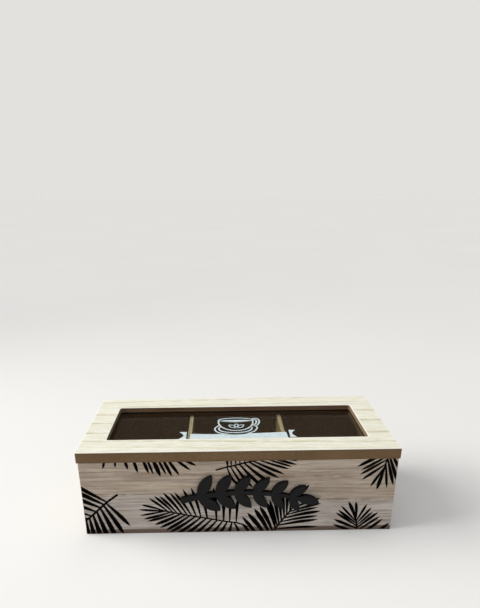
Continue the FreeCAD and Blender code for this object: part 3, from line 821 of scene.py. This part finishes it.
def oval_line(sheet, middle, half_width, half_height, stroke):
    """Adds an oval's outline; its middle and half sizes are in mm."""
    laid = Matrix.Translation((middle[0] * MM, middle[1] * MM, 0))
    size = Matrix.Diagonal((half_width * MM, half_height * MM, 1, 1))
    made = bmesh.ops.create_circle(
        sheet, cap_ends=True, radius=1.0, segments=OVAL_SIDES, matrix=laid @ size)
    face = made["verts"][0].link_faces[0]
    bmesh.ops.inset_individual(sheet, faces=[face], thickness=stroke, use_even_offset=True)
    bmesh.ops.delete(sheet, geom=[face], context="FACES_ONLY")


def cup_print():
    """A cup on its saucer in plain white line, with three plain leaves on its side."""
    sheet = bmesh.new()
    oval_line(sheet, (-0.4, 12.3), 14.9, 4.2, TEA_STROKE)
    tea = [(-12.6, 11.0), (-6.5, 10.5), (-0.5, 10.4), (5.5, 10.5), (11.6, 11.0)]
    strip(sheet, points_mm(tea), TEA_BREADTH, STROKE_STEPS, brimming)
    # The bowl, the handle's outer and inner line, and the saucer's outer and inner line.
    lines = [
        [(-15.0, 11.5), (-14.6, 5.0), (-11.8, -1.0), (-6.8, -5.4), (-0.5, -6.9), (6.0, -5.6),
         (11.0, -1.2), (13.7, 5.0), (14.2, 11.5)],
        [(13.6, 14.4), (17.0, 14.9), (19.4, 11.6), (19.2, 6.4), (17.0, 2.0), (13.2, 0.6)],
        [(14.3, 11.8), (15.9, 12.4), (17.1, 10.0), (16.6, 5.8), (14.9, 3.2), (13.2, 2.8)],
        [(-14.5, 2.4), (-17.6, -2.0), (-17.4, -6.8), (-14.0, -10.8), (-8.0, -12.8), (0.0, -13.4),
         (8.0, -12.4), (14.0, -8.8), (16.8, -3.6), (16.4, 0.2), (13.2, 0.6)],
        [(-13.6, -0.4), (-14.7, -4.0), (-12.4, -7.8), (-7.0, -9.9), (0.0, -10.5), (7.0, -9.4),
         (11.5, -6.2), (13.0, -1.8)],
    ]
    for line in lines:
        strip(sheet, points_mm(line), CUP_STROKE, STROKE_STEPS, even)
    foot = Vector((0, -2.2)) * MM
    for tip in points_mm([(-6.4, 3.2), (0.0, 5.4), (6.4, 3.2)]):
        for bow in (-LEAF_BOW, LEAF_BOW):
            strip(sheet, bowed(foot, tip, bow), LEAF_STROKE, BLADE_STEPS, even)
    on_glass(sheet, "cup_print")


def ribbon_print():
    """A white ribbon banner under the cup, with two swallow-tailed ends; it carries nothing."""
    sheet = bmesh.new()
    band = [(-37.7, -17.8), (-19.0, -18.8), (0.0, -18.7), (20.0, -17.8), (40.2, -16.7)]
    strip(sheet, points_mm(band), RIBBON_BREADTH, STROKE_STEPS, even)
    # Each tail's inner and outer end, its top and foot, and the bottom of its notch, in mm.
    for inner, outer, top, foot, notch in (
            (-40.6, -46.8, -8.3, -20.4, -42.9), (42.2, 47.6, -7.3, -19.2, 44.4)):
        made = bmesh.ops.create_grid(sheet, x_segments=1, y_segments=TAIL_STEPS, size=UNIT_GRID)
        for corner in made["verts"]:
            height = foot + (top - foot) * (corner.co.y + 0.5)
            across = inner
            if corner.co.x > 0:
                across = notch + (outer - notch) * abs(2 * corner.co.y) ** TAIL_HOLLOW
            corner.co = Vector((across, height, 0)) * MM
    # One tail is laid out as the mirror of the other, and all the faces have to look up.
    bmesh.ops.recalc_face_normals(sheet, faces=sheet.faces[:])
    for face in sheet.faces:
        if face.normal.z < 0:
            face.normal_flip()
    on_glass(sheet, "ribbon_print")


cup_print()
ribbon_print()


# ---- Studio ----------------------------------------------------------------------------------

FLOOR_REACH = 40.0


def make_floor():
    """A plain pale floor, wide enough to run out of sight."""
    sheet = bmesh.new()
    bmesh.ops.create_grid(sheet, x_segments=2, y_segments=2, size=FLOOR_REACH)
    mesh = bpy.data.meshes.new("pale_floor")
    sheet.to_mesh(mesh)
    sheet.free()
    material, tree, shader, place = new_finish("pale_floor_paint")
    unevenness = add(tree, "ShaderNodeTexNoise", {
        "Vector": place, "Scale": per_mm(400), "Detail": 2.0})
    tone = add(tree, "ShaderNodeValToRGB", {"Fac": unevenness.outputs["Fac"]},
               stops=[(0.3, "eeeeec"), (0.7, "f0f0ee")])
    plug(tree, shader, {
        "Base Color": tone.outputs["Color"], "Roughness": 0.9, "Specular IOR Level": 0.0})
    mesh.materials.append(material)
    floor = bpy.data.objects.new("pale_floor", mesh)
    bpy.context.scene.collection.objects.link(floor)


# What the studio's walls and its lit ceiling give, in linear light.
FRONT_WALL = (0.41, 0.415, 0.435, 1.0)
BACK_WALL = (0.13, 0.10, 0.07, 1.0)
CEILING = (0.96, 0.96, 0.98, 1.0)
# Where one wall turns into the other, and the walls into the ceiling, on a ball of radius 1.
WALL_TURN = (-0.2, 0.3)
CEILING_EDGE = (0.68, 0.88)

# The key light is a wide far one, and a soft box a metre to the left lifts that side a little.
KEY_DIRECTION = Vector((-0.84, 0.10, 0.53))
KEY_POWER = 1.98                   # watts on a square metre
KEY_BREADTH = math.radians(44)
SOFT_BOX_PLACE = Vector((-1.0, -0.05, 0.5))
SOFT_BOX_SIZE = 0.6
SOFT_BOX_POWER = 0.85              # watts
SOFT_BOX_SPREAD = math.radians(70)  # a honeycomb keeps it off the floor beneath it
LAMP_TINT = "fffefa"


def make_light():
    """Soft studio light: a wide key and a soft box on the left, under a bright ceiling."""
    world = bpy.data.worlds.new("studio")
    world.use_nodes = True
    tree = world.node_tree
    tree.nodes.clear()
    facing = add(tree, "ShaderNodeTexCoord").outputs["Generated"]
    towards = add(tree, "ShaderNodeSeparateXYZ", {"Vector": facing})
    behind = add(tree, "ShaderNodeMapRange", {
        "Value": towards.outputs["Y"], "From Min": WALL_TURN[0], "From Max": WALL_TURN[1]})
    overhead = add(tree, "ShaderNodeMapRange", {
        "Value": towards.outputs["Z"], "From Min": CEILING_EDGE[0], "From Max": CEILING_EDGE[1]},
        interpolation_type="SMOOTHSTEP")
    walls = add(tree, "ShaderNodeMix", {
        FACTOR: behind.outputs["Result"], FIRST: FRONT_WALL, SECOND: BACK_WALL}, data_type="RGBA")
    sky = add(tree, "ShaderNodeMix", {
        FACTOR: overhead.outputs["Result"], FIRST: walls.outputs[BLENDED], SECOND: CEILING},
        data_type="RGBA")
    lighting = add(tree, "ShaderNodeBackground", {"Color": sky.outputs[BLENDED], "Strength": 1.0})
    backdrop = add(tree, "ShaderNodeBackground", {"Color": linear("e2e1de"), "Strength": 1.0})
    seen = add(tree, "ShaderNodeLightPath").outputs["Is Camera Ray"]
    both = add(tree, "ShaderNodeMixShader", {
        0: seen, 1: lighting.outputs["Background"], 2: backdrop.outputs["Background"]})
    add(tree, "ShaderNodeOutputWorld", {"Surface": both.outputs["Shader"]})
    bpy.context.scene.world = world

    key = bpy.data.lights.new("soft_key", "SUN")
    key.energy = KEY_POWER
    key.angle = KEY_BREADTH
    box = bpy.data.lights.new("soft_box", "AREA")
    box.shape = "SQUARE"
    box.size = SOFT_BOX_SIZE
    box.energy = SOFT_BOX_POWER
    box.spread = SOFT_BOX_SPREAD
    for lamp, place in ((key, KEY_DIRECTION), (box, SOFT_BOX_PLACE)):
        lamp.color = linear(LAMP_TINT)[:3]
        hung = bpy.data.objects.new(lamp.name, lamp)
        aimed = place.to_track_quat("Z", "Y").to_matrix().to_4x4()
        hung.matrix_world = Matrix.Translation(place) @ aimed
        hung.visible_camera = False
        hung.visible_transmission = False      # the glass already lets its light through
        hung.visible_glossy = False            # no mirror image of the lamp in the glass
        bpy.context.scene.collection.objects.link(hung)
    bpy.context.scene.view_settings.view_transform = "Standard"


make_camera()
make_floor()
make_light()
